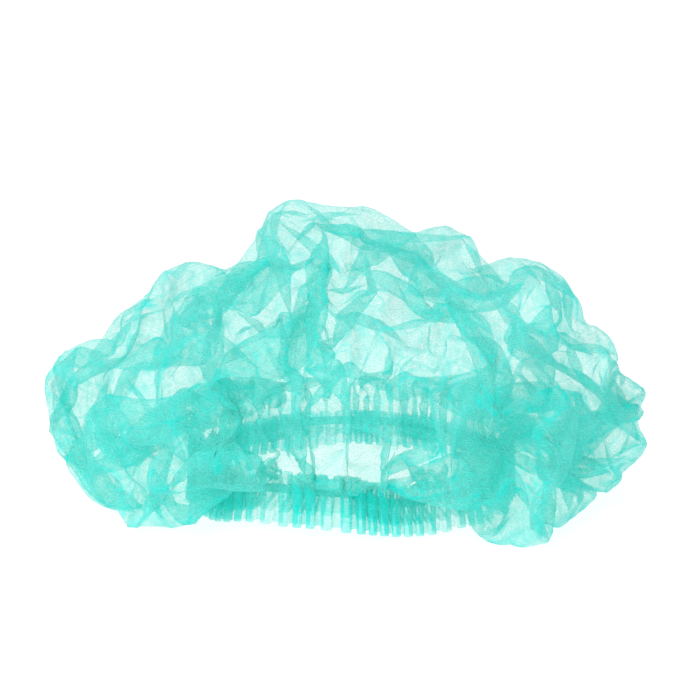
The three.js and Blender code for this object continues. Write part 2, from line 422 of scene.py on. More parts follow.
def disc(rings):
    """A disc of rings of points, ring k with 6 k: azimuth, share of the way in, first points, faces."""
    azimuth, along, starts = [0.0], [1.0], [0]
    for ring in range(1, rings + 1):
        starts.append(len(azimuth))
        azimuth += [360 * i / (6 * ring) for i in range(6 * ring)]
        along += [1 - ring / rings] * (6 * ring)
    faces = []
    for ring in range(1, rings + 1):
        outer_count = 6 * ring
        inner_count = max(6 * (ring - 1), 1)
        for sector in range(6):
            for i in range(ring):
                outer = starts[ring] + sector * ring + i
                outer_next = starts[ring] + (sector * ring + i + 1) % outer_count
                inner = starts[ring - 1] + (sector * (ring - 1) + i) % inner_count
                faces.append((outer, outer_next, inner))
                if i < ring - 1:
                    inner_next = starts[ring - 1] + (sector * (ring - 1) + i + 1) % inner_count
                    faces.append((outer_next, inner_next, inner))
    return np.array(azimuth), np.array(along), starts, faces


def mesh_object(name, places, faces, flat=None):
    """A smooth mesh object at the origin. flat gives each point's place on the flat cloth."""
    mesh = bpy.data.meshes.new(name)
    mesh.from_pydata(np.asarray(places).tolist(), [], faces)
    mesh.polygons.foreach_set("use_smooth", [True] * len(mesh.polygons))
    if flat is not None:
        corners = np.empty(len(mesh.loops), int)
        mesh.loops.foreach_get("vertex_index", corners)
        layer = mesh.uv_layers.new(name="flat_cloth")
        layer.data.foreach_set("uv", np.asarray(flat)[corners].astype(np.float32).ravel())
    mesh.update()
    piece = bpy.data.objects.new(name, mesh)
    bpy.context.scene.collection.objects.link(piece)
    return piece


# Steps in degrees and in shares of the way up, between which the form's directions are taken.
AZIMUTH_STEP = 0.75
ALONG_STEP = 0.01
# Shares of the way up over which the cloth comes to its place inside the form, the rim's arch dies out,
# and the pleats swell and die out.
INSET_REACH = 0.2
ARCH_REACH = 0.3
SWELL_REACH = 0.15
PLEAT_REACH = 0.3
PLEAT_START = 1.1
# Shares of the way up over which a pleat folds over itself: the least, and what is added.
# The step sets how it differs from pleat to pleat.
FOLD_OVER_LEAST = 0.06
FOLD_OVER_MORE = 0.32
FOLD_OVER_STEP = 2.4


def crown_form_at(azimuth, along, crown, rim):
    """Places on the crown's form, their outward directions, and the offsets of the pleats near the rim."""
    grid = crown_form(crown, rim)
    places = sample_grid(grid, azimuth, along)
    round_step = sample_grid(grid, azimuth + AZIMUTH_STEP, along)
    round_step -= sample_grid(grid, azimuth - AZIMUTH_STEP, along)
    up_step = sample_grid(grid, azimuth, along + ALONG_STEP)
    up_step -= sample_grid(grid, azimuth, along - ALONG_STEP)
    out = np.cross(round_step, up_step)
    out /= np.maximum(np.linalg.norm(out, axis=1, keepdims=True), 1e-9)
    out[0] = (0, 0, 1)
    side = round_step / np.maximum(np.linalg.norm(round_step, axis=1, keepdims=True), 1e-9)
    angle = np.radians(azimuth)
    places = places * MM
    places -= out * (crown.inset * np.clip(along / INSET_REACH, 0, 1))[:, None]
    places[:, 2] += rim_lift(angle, rim) * np.clip(1 - along / ARCH_REACH, 0, 1)
    width = 2 * np.pi * np.hypot(places[:, 0], places[:, 1]) / rim.pleats
    turn = rim_turn(angle, rim.pleats)
    longer = np.clip(np.sin(FOLD_OVER_STEP * np.floor(turn) + 1), 0, 1) ** 2
    reach = FOLD_OVER_LEAST + FOLD_OVER_MORE * longer
    lean = rim.lean * np.clip(1 - along / reach, 0, 1)
    swell = rim.depth + (crown.pleat_depth - rim.depth) * np.clip(along / SWELL_REACH, 0, 1)
    depth = swell * np.clip(PLEAT_START - along / PLEAT_REACH, 0, 1) * rim_uneven(angle)
    aside, outward = pleat_offsets(turn, lean, depth, width)
    pleats = side * aside[:, None] + out * outward[:, None]
    return places, out, pleats


# Long gathers that stand up from the rim across the pale front.
# Columns: azimuth at the rim and at the upper end, share of the way up, height and width in millimetres.
FRONT_GATHERS = [
    (243.6, 241, 0.40, 4, 5.5),
    (255.8, 253.5, 0.46, 5, 7),
    (266.6, 268.5, 0.46, 5, 7.5),
    (274.8, 272.5, 0.44, 4, 5.5),
    (282.5, 285, 0.42, 4, 5),
    (294, 297, 0.36, 4, 5),
]
# The front's distance from the rim's middle in millimetres, how far a gather is pinched together,
# and the share of the way up over which it rises from the rim.
FRONT_REACH = 84
PINCH = 2.4
GATHER_START = 0.02


def front_gathers(azimuth, along):
    """How far the long gathers stand out, and how far they are pinched together, at each place."""
    rise = np.zeros(len(azimuth))
    aside = np.zeros(len(azimuth))
    for low, high, reach, height, width in FRONT_GATHERS:
        share = np.clip(along / reach, 0, 1)
        strength = np.sqrt(1 - share) * np.clip(along / GATHER_START, 0, 1)
        away = np.radians(azimuth - low - (high - low) * share) * FRONT_REACH / width
        rise += strength * height * MM * np.exp(-(away**2))
        aside -= strength * PINCH * width * MM * away * np.exp(-(away**2) / 2)
    return rise, aside


# Where the crown has more spare cloth than elsewhere, with more above 0, or less, with more below 0.
# Columns: azimuth and along of the middle, spread in degrees, spread along, more.
SPARE_CLOTH = {
    "left front mass": (216, 0.34, 26, 0.22, 0.9),
    "right front mass": (326, 0.34, 26, 0.22, 0.9),
    "front window": (272, 0.55, 22, 0.25, -0.5),
}


def spare_cloth():
    """How much spare cloth the crown has over its grid, against its mean."""
    spare = np.ones((len(GRID_AZIMUTHS), len(GRID_ALONGS)))
    for azimuth, along, azimuth_spread, along_spread, more in SPARE_CLOTH.values():
        away = (np.mod(GRID_AZIMUTHS - azimuth + 180, 360) - 180) / azimuth_spread
        up = (GRID_ALONGS - along) / along_spread
        spare += more * np.exp(-(away[:, None] ** 2) - up[None, :] ** 2)
    return spare


# Share of the way down from the top over which the spare cloth comes in.
SMOOTH_TOP = 0.4


def rest_shape(azimuth, along, slack, fullness, crown, rim):
    """The cloth unpuckered, as a dome with its own lengths: it is gathered towards the rim."""
    form = crown_form(crown, rim) * MM
    gathered = np.clip(1 - GRID_ALONGS / crown.gathers_reach, 0, 1) ** 1.5
    from_top = np.clip((1 - GRID_ALONGS) / SMOOTH_TOP, 0, 1)
    spare = slack * from_top * spare_cloth()
    full = 1 + spare + (fullness - 1 - spare) * gathered
    rest = form * full[..., None]
    across = np.linalg.norm(np.diff(rest[..., :2], axis=1), axis=2)
    upward = np.linalg.norm(np.diff(form, axis=1), axis=2) * (1 + crown.slack_up * from_top[1:])
    drop = np.sqrt(np.maximum(upward**2 - across**2, 0))
    rest[:, -1, 2] = 0
    rest[:, :-1, 2] = -np.cumsum(drop[:, ::-1], axis=1)[:, ::-1]
    return sample_grid(rest, azimuth, along)


# The cloth settles on a mesh that gets finer, so that it folds from large to small.
# Columns: rings of the mesh as a multiple of the first, steps, how far its points start from their places
# in millimetres, resistance to bending, spare length round the cap, fullness at the rim.
SETTLING = [
    (1, 300, 22, 0.3, 0.28, 1.4),
    (2, 300, 8, 0.5, 0.33, 1.6),
    (4, 300, 0.8, 0.9, 0.40, 2.1),
    (8, 200, 0.2, 0.9, 0.45, 2.1),
    (16, 80, 0.0, 0.9, 0.46, 2.1),
]
# The mesh on which the pleats that run up from the rim are set, as the same multiple.
PLEATED_AT = 4


def mesh_links(faces):
    """Pairs of points that an edge joins, and pairs that face each other across an edge."""
    corners = np.array(faces)
    ends = np.sort(np.concatenate([corners[:, [0, 1]], corners[:, [1, 2]], corners[:, [2, 0]]]), 1)
    facing = np.concatenate([corners[:, 2], corners[:, 0], corners[:, 1]])
    edges, number = np.unique(ends, axis=0, return_inverse=True)
    order = np.argsort(number.ravel(), kind="stable")
    same = np.diff(number.ravel()[order]) == 0
    return edges, np.stack([facing[order][:-1][same], facing[order][1:][same]], 1)


def spring_moves(places, pairs, lengths, stiffness):
    """How far springs between pairs of points move the points: a mean over a point's springs."""
    way = places[pairs[:, 1]] - places[pairs[:, 0]]
    now = np.maximum(np.linalg.norm(way, axis=1), 1e-9)
    share = stiffness * (1 - lengths / now)
    pull = way * share[:, None]
    count = len(places)
    springs = np.bincount(pairs.ravel(), minlength=count)
    moves = [
        np.bincount(pairs[:, 0], pull[:, axis], count) - np.bincount(pairs[:, 1], pull[:, axis], count)
        for axis in range(3)
    ]
    return np.stack(moves, 1) / np.maximum(springs, 1)[:, None]


# Share of its speed that the cloth keeps, its resistance to stretching, its pull towards its form,
# and its gap over the floor.
DAMPING = 0.9
STRETCHING = 0.8
HOLD = 0.0005
FLOOR_GAP = 0.5 * MM
# A fold whose sides are nearer than this share of their flat distance resists least and stays sharp.
SHARP_FOLD = 0.45
FOLD_RANGE = 0.4
LEAST_RESISTANCE = 0.15


def settle(places, rest, faces, form, out, fixed, stage, crown):
    """Lets the cloth find its folds: it keeps its lengths, is held along the rim and stays near its form."""
    _, steps, _, stiffness, _, _ = stage
    edges, facing = mesh_links(faces)
    lengths = np.linalg.norm(rest[edges[:, 1]] - rest[edges[:, 0]], axis=1)
    spans = np.linalg.norm(rest[facing[:, 1]] - rest[facing[:, 0]], axis=1)
    held = places[fixed].copy()
    speed = np.zeros_like(places)
    for _ in range(steps):
        moved = places + DAMPING * speed
        moved += spring_moves(moved, edges, lengths, STRETCHING)
        now = np.linalg.norm(moved[facing[:, 1]] - moved[facing[:, 0]], axis=1) / spans
        resist = np.clip((now - SHARP_FOLD) / FOLD_RANGE, LEAST_RESISTANCE, 1)
        moved += spring_moves(moved, facing, spans, stiffness * np.where(now < 1, resist, 0))
        depth = ((moved - form) * out).sum(1)
        beyond = np.maximum(depth - crown.proud, 0) + np.minimum(depth + crown.sink, 0)
        moved -= out * beyond[:, None]
        moved += HOLD * (form - moved)
        moved[:, 2] = np.maximum(moved[:, 2], FLOOR_GAP)
        moved[fixed] = held
        speed = moved - places
        places = moved
    return places


def finer(places, starts):
    """The same disc of cloth with twice as many rings: each new point is midway between two old ones."""

    def number(ring, sector, i):
        return starts[ring] + (sector * ring + i) % max(6 * ring, 1)

    parents = [(0, 0)]
    for ring in range(1, 2 * (len(starts) - 1) + 1):
        inner, outer = ring // 2, (ring + 1) // 2
        for sector in range(6):
            for i in range(ring):
                parents.append((number(inner, sector, i // 2), number(outer, sector, (i + 1) // 2)))
    first, second = np.array(parents).T
    return (places[first] + places[second]) / 2


def bend_of(places, faces):
    """How sharply a mesh of triangles is bent at each point: above 0 on a crest, below 0 in a valley."""
    corners = np.array(faces)
    a, b, c = (places[corners[:, i]] for i in range(3))
    normals, sums, lengths = np.zeros_like(places), np.zeros_like(places), np.zeros(len(places))
    counts = np.zeros(len(places))
    for i in range(3):
        start, end = corners[:, i], corners[:, (i + 1) % 3]
        np.add.at(normals, start, np.cross(b - a, c - a))
        np.add.at(sums, start, places[end])
        np.add.at(lengths, start, np.linalg.norm(places[end] - places[start], axis=1))
        np.add.at(counts, start, 1)
    normals /= np.maximum(np.linalg.norm(normals, axis=1, keepdims=True), 1e-12)
    away = ((places - sums / counts[:, None]) * normals).sum(1)
    return away / (lengths / counts)


def store_bend(piece, bend):
    """Keeps how sharply a piece is bent at each point, for its material."""
    attribute = piece.data.attributes.new("bend", "FLOAT", "POINT")
    attribute.data.foreach_set("value", bend.astype(np.float32).ravel())


def build_crown(settings):
    """The crown's cloth."""
    crown, rim = settings.crown, settings.rim
    draws = np.random.default_rng(crown.seed)
    places, starts = None, None
    for stage in SETTLING:
        multiple, _, rough, _, slack, fullness = stage
        azimuth, along, next_starts, faces = disc(multiple * crown.rings)
        form, out, pleats = crown_form_at(azimuth, along, crown, rim)
        places = form.copy() if places is None else finer(places, starts)
        starts = next_starts
        if multiple == PLEATED_AT:
            places += pleats
        places += out * draws.normal(0, rough * MM, len(places))[:, None]
        fixed = np.arange(starts[-1], len(along))
        places[fixed] = rim_top(np.radians(azimuth[fixed]), rim)
        rest = rest_shape(azimuth, along, slack, fullness, crown, rim)
        places = settle(places, rest, faces, form, out, fixed, stage, crown)
    angle = np.radians(azimuth)
    facing = np.arctan2(places[:, 1], places[:, 0])
    rise, aside = front_gathers(np.mod(np.degrees(facing), 360), along)
    outward = np.stack([np.cos(facing), np.sin(facing), np.zeros(len(facing))], 1)
    sideways = np.stack([-np.sin(facing), np.cos(facing), np.zeros(len(facing))], 1)
    places += outward * rise[:, None] + sideways * aside[:, None]
    places += np.array([RIM_CENTRE.x, RIM_CENTRE.y, 0])
    flat_reach = crown.cut / 2 * (1 - along)
    flat = np.stack([0.5 + flat_reach * np.cos(angle), 0.5 + flat_reach * np.sin(angle)], 1)
    piece = mesh_object("crown_cloth", places, faces, flat)
    # The bend stored here lets the cloth's material paint shade along the folds.
    store_bend(piece, bend_of(places, faces))
    piece.data.materials.append(cloth_material(settings.finish))
    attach(piece, BODY)
    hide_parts("crown")
    return piece


def wall(angle, rows, rim):
    """A pleated wall, from rows of reach, heights, lean, depth and how far the pleats are parted."""
    places = []
    for reach, height, lean, depth, parted in rows:
        x, y = rim_ring(angle, reach, lean, depth, rim, parted)
        z = height + rim_lift(angle, rim)
        places.append(np.stack([x + RIM_CENTRE.x, y + RIM_CENTRE.y, z], 1))
    return np.concatenate(places)


def strip_faces(columns, rows):
    """Faces of a strip that is closed round its columns."""
    faces = []
    for row in range(rows - 1):
        low, high = row * columns, (row + 1) * columns
        for i in range(columns):
            beside = (i + 1) % columns
            faces.append((low + i, low + beside, high + beside, high + i))
    return faces


# Flat length of the rim's cloth against the rim's own length.
RIM_FULLNESS = 2.1
# How much more strongly the rim's folds are marked than loose folds: the elastic packs them tighter, and the
# mark is painted shade along the pleats.
RIM_FOLD_SHADE_BOOST = 1.5
# Rows of points up the outer wall and up the cloth turned in.
OUTER_ROWS = 11
INNER_ROWS = 8
# How far the frill's edge flares, over what share of the height.
FLARE = 1.2 * MM
FLARE_REACH = 0.3
# How far the pleats fold over at shares of the height, against the rim's lean: most at the elastic.
TIGHT_AT = [0, 0.35, 0.62, 1]
TIGHTNESS = [0.75, 0.95, 1.1, 1]
# Shares of the height over which pleats part in two below the crown, and the turned-in cloth leaves the wall.
PARTED_REACH = 0.35
TURN_IN_REACH = 0.35
WALL_GAP = 0.4 * MM
# Where the turned-in cloth starts on the flat cloth, clear of the outer wall's.
FLAT_START = 30 * MM


def ring_bend(places):
    """How sharply closed rings of points are bent at each point: above 0 on an outer crest."""
    before, after = np.roll(places, 1, 1), np.roll(places, -1, 1)
    out = places[..., :2] - np.array([RIM_CENTRE.x, RIM_CENTRE.y])
    out /= np.linalg.norm(out, axis=2, keepdims=True)
    away = (places - (before + after) / 2)[..., :2]
    return (away * out).sum(2) / (np.linalg.norm(after - before, axis=2) / 2)


def build_rim(settings):
    """The gathered rim: an outer wall that ends in a frill, and the cloth turned in behind the elastic."""
    rim, crown = settings.rim, settings.crown
    columns = 6 * crown.rings * SETTLING[-1][0]
    angle = 2 * np.pi * np.arange(columns) / columns
    edge = waves(angle, EDGE_HEIGHT, EDGE_WAVES)
    outer_rows = []
    for share in np.linspace(0, 1, OUTER_ROWS):
        height = edge + (rim.height - edge) * share
        flare = FLARE * np.clip(1 - share / FLARE_REACH, 0, 1)
        lean = rim.lean * np.interp(share, TIGHT_AT, TIGHTNESS)
        parted = np.clip((1 - share) / PARTED_REACH, 0, 1)
        outer_rows.append((rim.outer_reach + flare, height, lean, rim.depth, parted))
    inner_rows = []
    for share in np.linspace(0, 1, INNER_ROWS):
        height = rim.frill + (rim.hem - rim.frill) * share
        turn = min(1, share / TURN_IN_REACH)
        turn = turn * turn * (3 - 2 * turn)
        reach = (rim.outer_reach - WALL_GAP) * (1 - turn) + rim.inner_reach * turn
        inner_rows.append((reach, np.full(columns, height), rim.lean, rim.depth, 1.0))
    outer = wall(angle, outer_rows, rim)
    inner = wall(angle, inner_rows, rim)
    faces = strip_faces(columns, len(outer_rows))
    shift = len(outer)
    for face in strip_faces(columns, len(inner_rows)):
        faces.append(tuple(point + shift for point in face[::-1]))
    length = 2 * np.pi * rim.outer_reach * RIM_FULLNESS
    around = angle / (2 * np.pi) * length
    flat = [np.stack([around, height * np.ones(columns)], 1) for _, height, _, _, _ in outer_rows]
    flat += [np.stack([around, FLAT_START + height], 1) for _, height, _, _, _ in inner_rows]
    places = np.concatenate([outer, inner])
    piece = mesh_object("rim_casing_cloth", places, faces, np.concatenate(flat))
    # The rim's bend, scaled up, paints darker shade along its pleat folds in the cloth's material.
    store_bend(piece, RIM_FOLD_SHADE_BOOST * ring_bend(places.reshape(-1, columns, 3)))
    piece.data.materials.append(cloth_material(settings.finish))
    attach(piece, BODY)
    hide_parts("rim_casing")
    return piece


def add_node(tree, kind, links=None, **values):
    """Adds a node with its settings. links maps an input to a value or to another node's output."""
    node = tree.nodes.new(kind)
    for key, value in values.items():
        setattr(node, key, value)
    for name, source in (links or {}).items():
        socket = node.inputs[name]
        if isinstance(source, bpy.types.NodeSocket):
            tree.links.new(source, socket)
        else:
            socket.default_value = source
    return node


# Fibres of the web, drawn coarser than real so that they show: how three layers of strands are turned,
# in degrees, and a strand's length and width.
STRAND_TURNS = [(20, 35, 40), (-35, 15, -30), (60, -20, 80)]
STRAND_LENGTH = 2.6 * MM
STRAND_WIDTH = 0.4 * MM
# Clouds of denser web, their weight beside the strands, the web's range from thin to thick, and what it adds.
CLOUD_WIDTH = 9 * MM
CLOUD_WEIGHT = 0.8
THIN_WEB = 1.5
THICK_WEB = 2.3
WEB_UNEVEN = 0.16
# Bend at which a fold's painted shade starts to show and shows fully, and the cover that it adds along the
# fold, partly for the fibres packed there.
FOLD_STARTS = 0.06
FOLD_SHOWS = 0.42
FOLD_SHADE_COVER = 0.35
# Small crinkles and single strands, and how far they stand up.
CRINKLE_WIDTH = 3 * MM
CRINKLE_RISE = 1.2 * MM
STRAND_RISE = 0.6 * MM
# Share of the light that the fibres scatter through the cloth, beside what they throw back.
THROUGH_SHARE = 0.5
# Sharp creases from packing, darkened along their lines as painted shade: columns spacing, weight. They are
# drawn wider than real so that they show.
CREASES = [(26 * MM, 0.5), (11 * MM, 0.25)]
CREASE_WIDTH = 0.7 * MM


def bare_material(name):
    """A new material without nodes."""
    material = bpy.data.materials.new(name)
    material.use_nodes = True
    material.node_tree.nodes.clear()
    return material


def cloth_material(finish):
    """Spunbond polypropylene non-woven: thin, matt and see-through, clouded by its random fibres."""
    name = "spunbond polypropylene nonwoven"
    if name in bpy.data.materials:
        return bpy.data.materials[name]
    material = bare_material(name)
    tree = material.node_tree
    place = add_node(tree, "ShaderNodeTexCoord").outputs["Object"]
    web = None
    for turn in STRAND_TURNS:
        strand = add_node(
            tree,
            "ShaderNodeMapping",
            {
                "Vector": place,
                "Rotation": [math.radians(angle) for angle in turn],
                "Scale": (1 / STRAND_LENGTH, 1 / STRAND_WIDTH, 1 / STRAND_WIDTH),
            },
        )
        noise = add_node(
            tree, "ShaderNodeTexNoise", {"Vector": strand.outputs[0], "Scale": 1.0, "Detail": 2.0}
        )
        layer = noise.outputs["Fac"]
        if web is None:
            web = layer
        else:
            web = add_node(tree, "ShaderNodeMath", {0: web, 1: layer}, operation="ADD").outputs[0]
    clouds = add_node(tree, "ShaderNodeTexNoise", {"Vector": place, "Scale": 1 / CLOUD_WIDTH, "Detail": 3.0})
    density = add_node(
        tree, "ShaderNodeMath", {0: clouds.outputs["Fac"], 1: CLOUD_WEIGHT, 2: web}, operation="MULTIPLY_ADD"
    )
    cover = add_node(
        tree,
        "ShaderNodeMapRange",
        {
            "Value": density.outputs[0],
            "From Min": THIN_WEB,
            "From Max": THICK_WEB,
            "To Min": finish.cover - WEB_UNEVEN,
            "To Max": finish.cover + WEB_UNEVEN,
        },
    )
    # Painted shade along folds: where the cloth is sharply bent, and along the crease lines, it gets the
    # darker fold colour and more cover.
    bend = add_node(tree, "ShaderNodeAttribute", attribute_type="GEOMETRY", attribute_name="bend")
    sharp = add_node(tree, "ShaderNodeMath", {0: bend.outputs["Fac"]}, operation="ABSOLUTE")
    fold = add_node(
        tree,
        "ShaderNodeMapRange",
        {"Value": sharp.outputs[0], "From Min": FOLD_STARTS, "From Max": FOLD_SHOWS},
        interpolation_type="SMOOTHSTEP",
    ).outputs[0]
    flat = add_node(tree, "ShaderNodeUVMap", uv_map="flat_cloth").outputs[0]
    for spacing, weight in CREASES:
        net = add_node(
            tree,
            "ShaderNodeTexVoronoi",
            {"Vector": flat, "Scale": 1 / spacing},
            voronoi_dimensions="2D",
            feature="DISTANCE_TO_EDGE",
        )
        line = add_node(
            tree,
            "ShaderNodeMapRange",
            {
                "Value": net.outputs["Distance"],
                "From Max": CREASE_WIDTH / spacing,
                "To Min": weight,
                "To Max": 0.0,
            },
            interpolation_type="SMOOTHSTEP",
        )
        fold = add_node(tree, "ShaderNodeMath", {0: fold, 1: line.outputs[0]}, operation="ADD").outputs[0]
    tone = add_node(
        tree,
        "ShaderNodeMix",
        {"Factor": fold, 6: (*finish.face, 1), 7: (*finish.fold, 1)},
        data_type="RGBA",
    )
    cover_with_fold_shade = add_node(
        tree,
        "ShaderNodeMath",
        {0: fold, 1: FOLD_SHADE_COVER, 2: cover.outputs[0]},
        operation="MULTIPLY_ADD",
        use_clamp=True,
    )
    crinkle = add_node(
        tree,
        "ShaderNodeTexNoise",
        {"Vector": place, "Scale": 1 / CRINKLE_WIDTH, "Detail": 3.0, "Distortion": 1.5},
    )
    coarse = add_node(
        tree,
        "ShaderNodeBump",
        {"Height": crinkle.outputs["Fac"], "Strength": 0.7, "Distance": CRINKLE_RISE},
    )
    relief = add_node(
        tree,
        "ShaderNodeBump",
        {"Height": layer, "Strength": 0.45, "Distance": STRAND_RISE, "Normal": coarse.outputs[0]},
    )
    front = add_node(
        tree,
        "ShaderNodeBsdfPrincipled",
        {
            "Base Color": tone.outputs[2],
            "Roughness": 0.7,
            "Specular IOR Level": 0.3,
            "Sheen Weight": 0.5,
            "Sheen Roughness": 0.4,
            "Normal": relief.outputs[0],
        },
    )
    back = add_node(
        tree, "ShaderNodeBsdfTranslucent", {"Color": (*finish.through, 1), "Normal": relief.outputs[0]}
    )
    fibre = add_node(tree, "ShaderNodeMixShader", {0: THROUGH_SHARE, 1: front.outputs[0], 2: back.outputs[0]})
    clear = add_node(tree, "ShaderNodeBsdfTransparent", {"Color": (*finish.tint, 1)})
    whole = add_node(
        tree, "ShaderNodeMixShader", {0: cover_with_fold_shade.outputs[0], 1: clear.outputs[0], 2: fibre.outputs[0]}
    )
    add_node(tree, "ShaderNodeOutputMaterial", {"Surface": whole.outputs[0]})
    return material


# Wales of the knitted cover, which run along the elastic, and its stitches, drawn coarser than real to show.
WALE_WIDTH = 0.6 * MM
STITCH_LENGTH = 1.5 * MM
# Weight of the wales beside the stitches, how far both stand up, and points along the elastic's path.
WALE_WEIGHT = 0.6
KNIT_RISE = 0.2 * MM
ELASTIC_POINTS = 216
# Bands that a wave texture draws to a unit at a scale of 1.
WAVE_BANDS = 10 / math.pi


def elastic_material(finish):
    """Knitted elastic: matt polyester yarn over rubber, with pale wales and darker gaps between them."""
    name = "knitted elastic"
    if name in bpy.data.materials:
        return bpy.data.materials[name]
    material = bare_material(name)
    tree = material.node_tree
    place = add_node(tree, "ShaderNodeTexCoord").outputs["Object"]
    wales = add_node(
        tree,
        "ShaderNodeTexWave",
        {"Vector": place, "Scale": 1 / (WAVE_BANDS * WALE_WIDTH), "Distortion": 0.6, "Detail": 1.0},
        bands_direction="Z",
    )
    yarn = add_node(tree, "ShaderNodeTexNoise", {"Vector": place, "Scale": 1 / STITCH_LENGTH, "Detail": 4.0})
    knit = add_node(
        tree,
        "ShaderNodeMath",
        {0: wales.outputs["Fac"], 1: WALE_WEIGHT, 2: yarn.outputs["Fac"]},
        operation="MULTIPLY_ADD",
    )
    shade = add_node(tree, "ShaderNodeMapRange", {"Value": knit.outputs[0], "From Min": 0.3, "From Max": 1.2})
    tone = add_node(
        tree,
        "ShaderNodeMix",
        {"Factor": shade.outputs[0], 6: (*finish.elastic_gap, 1), 7: (*finish.elastic, 1)},
        data_type="RGBA",
    )
    relief = add_node(
        tree, "ShaderNodeBump", {"Height": knit.outputs[0], "Strength": 0.5, "Distance": KNIT_RISE}
    )
    shader = add_node(
        tree,
        "ShaderNodeBsdfPrincipled",
        {
            "Base Color": tone.outputs[2],
            "Roughness": 0.8,
            "Specular IOR Level": 0.3,
            "Sheen Weight": 0.3,
            "Normal": relief.outputs[0],
        },
    )
    add_node(tree, "ShaderNodeOutputMaterial", {"Surface": shader.outputs[0]})
    return material


# Named inputs of the elastic's nodes.
ELASTIC_INPUTS = {
    "Width": "NodeSocketFloat",
    "Thickness": "NodeSocketFloat",
    "Courses": "NodeSocketInt",
    "Course width": "NodeSocketFloat",
    "Course rise": "NodeSocketFloat",
    "Material": "NodeSocketMaterial",
}


def elastic_tree():
    """Nodes that sweep a flat band along a path and set knitted courses across it."""
    tree = bpy.data.node_groups.new("elastic along a path", "GeometryNodeTree")
    tree.interface.new_socket("Geometry", in_out="INPUT", socket_type="NodeSocketGeometry")
    for name, kind in ELASTIC_INPUTS.items():
        tree.interface.new_socket(name, in_out="INPUT", socket_type=kind)
    tree.interface.new_socket("Geometry", in_out="OUTPUT", socket_type="NodeSocketGeometry")
    given = add_node(tree, "NodeGroupInput").outputs
    curve = add_node(tree, "GeometryNodeMeshToCurve", {"Mesh": given["Geometry"]})
    path = add_node(tree, "GeometryNodeSetCurveNormal", {"Curve": curve.outputs[0]}, mode="Z_UP")
    section = add_node(
        tree,
        "GeometryNodeCurvePrimitiveQuadrilateral",
        {"Width": given["Thickness"], "Height": given["Width"]},
    )
    band = add_node(
        tree, "GeometryNodeCurveToMesh", {"Curve": path.outputs[0], "Profile Curve": section.outputs[0]}
    )
    places = add_node(
        tree, "GeometryNodeCurveToPoints", {"Curve": path.outputs[0], "Count": given["Courses"]}
    )
    twice = add_node(tree, "ShaderNodeMath", {0: given["Course rise"], 1: 2.0}, operation="MULTIPLY")
    deep = add_node(tree, "ShaderNodeMath", {0: given["Thickness"], 1: twice.outputs[0]}, operation="ADD")
    high = add_node(tree, "ShaderNodeMath", {0: given["Width"], 1: twice.outputs[0]}, operation="ADD")
    sizes = add_node(
        tree, "ShaderNodeCombineXYZ", {0: deep.outputs[0], 1: high.outputs[0], 2: given["Course width"]}
    )
    course = add_node(tree, "GeometryNodeMeshCube", {"Size": sizes.outputs[0]})
    courses = add_node(
        tree,
        "GeometryNodeInstanceOnPoints",
        {
            "Points": places.outputs["Points"],
            "Instance": course.outputs["Mesh"],
            "Rotation": places.outputs["Rotation"],
        },
    )
    whole = add_node(tree, "GeometryNodeJoinGeometry", {"Geometry": courses.outputs[0]})
    tree.links.new(band.outputs[0], whole.inputs["Geometry"])
    real = add_node(tree, "GeometryNodeRealizeInstances", {"Geometry": whole.outputs[0]})
    dressed = add_node(
        tree, "GeometryNodeSetMaterial", {"Geometry": real.outputs[0], "Material": given["Material"]}
    )
    add_node(tree, "NodeGroupOutput", {"Geometry": dressed.outputs[0]})
    return tree


def build_elastic(settings):
    """The elastic: a knitted band that follows the rim's channel and its arch."""
    elastic = settings.elastic
    angle = 2 * np.pi * np.arange(ELASTIC_POINTS) / ELASTIC_POINTS
    x = RIM_CENTRE.x + elastic.reach * np.cos(angle)
    y = RIM_CENTRE.y + elastic.reach * np.sin(angle)
    z = elastic.middle + rim_lift(angle, settings.rim)
    path = bpy.data.meshes.new("elastic path")
    edges = [(i, (i + 1) % ELASTIC_POINTS) for i in range(ELASTIC_POINTS)]
    path.from_pydata(np.stack([x, y, z], 1).tolist(), edges, [])
    carrier = bpy.data.objects.new("elastic path", path)
    bpy.context.scene.collection.objects.link(carrier)
    nodes = carrier.modifiers.new("elastic", "NODES")
    nodes.node_group = elastic_tree()
    values = (
        elastic.width,
        elastic.thickness,
        elastic.courses,
        elastic.course_width,
        elastic.course_rise,
        elastic_material(settings.finish),
    )
    for name, value in zip(ELASTIC_INPUTS, values):
        nodes[nodes.node_group.interface.items_tree[name].identifier] = value
    evaluated = carrier.evaluated_get(bpy.context.evaluated_depsgraph_get())
    mesh = bpy.data.meshes.new_from_object(evaluated)
    mesh.name = "elastic_band_knit"
    carrier.modifiers.remove(nodes)
    bpy.data.objects.remove(carrier)
    bpy.data.meshes.remove(path)
    piece = bpy.data.objects.new("elastic_band_knit", mesh)
    bpy.context.scene.collection.objects.link(piece)
    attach(piece, BODY)
    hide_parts("elastic_band")
    return piece


# Half the floor's width, the soft panel's width, where it stands and what it faces, in metres.
FLOOR_REACH = 3
PANEL_WIDTH = 1.6
PANEL_PLACE = (-0.9, -1.7, 1.9)
PANEL_FACES = (0, 0, 0.05)
# The camera sensor's width in millimetres.
SENSOR_WIDTH = 36
# Layers of cloth that one ray of light may pass.
CLOTH_LAYERS = 48


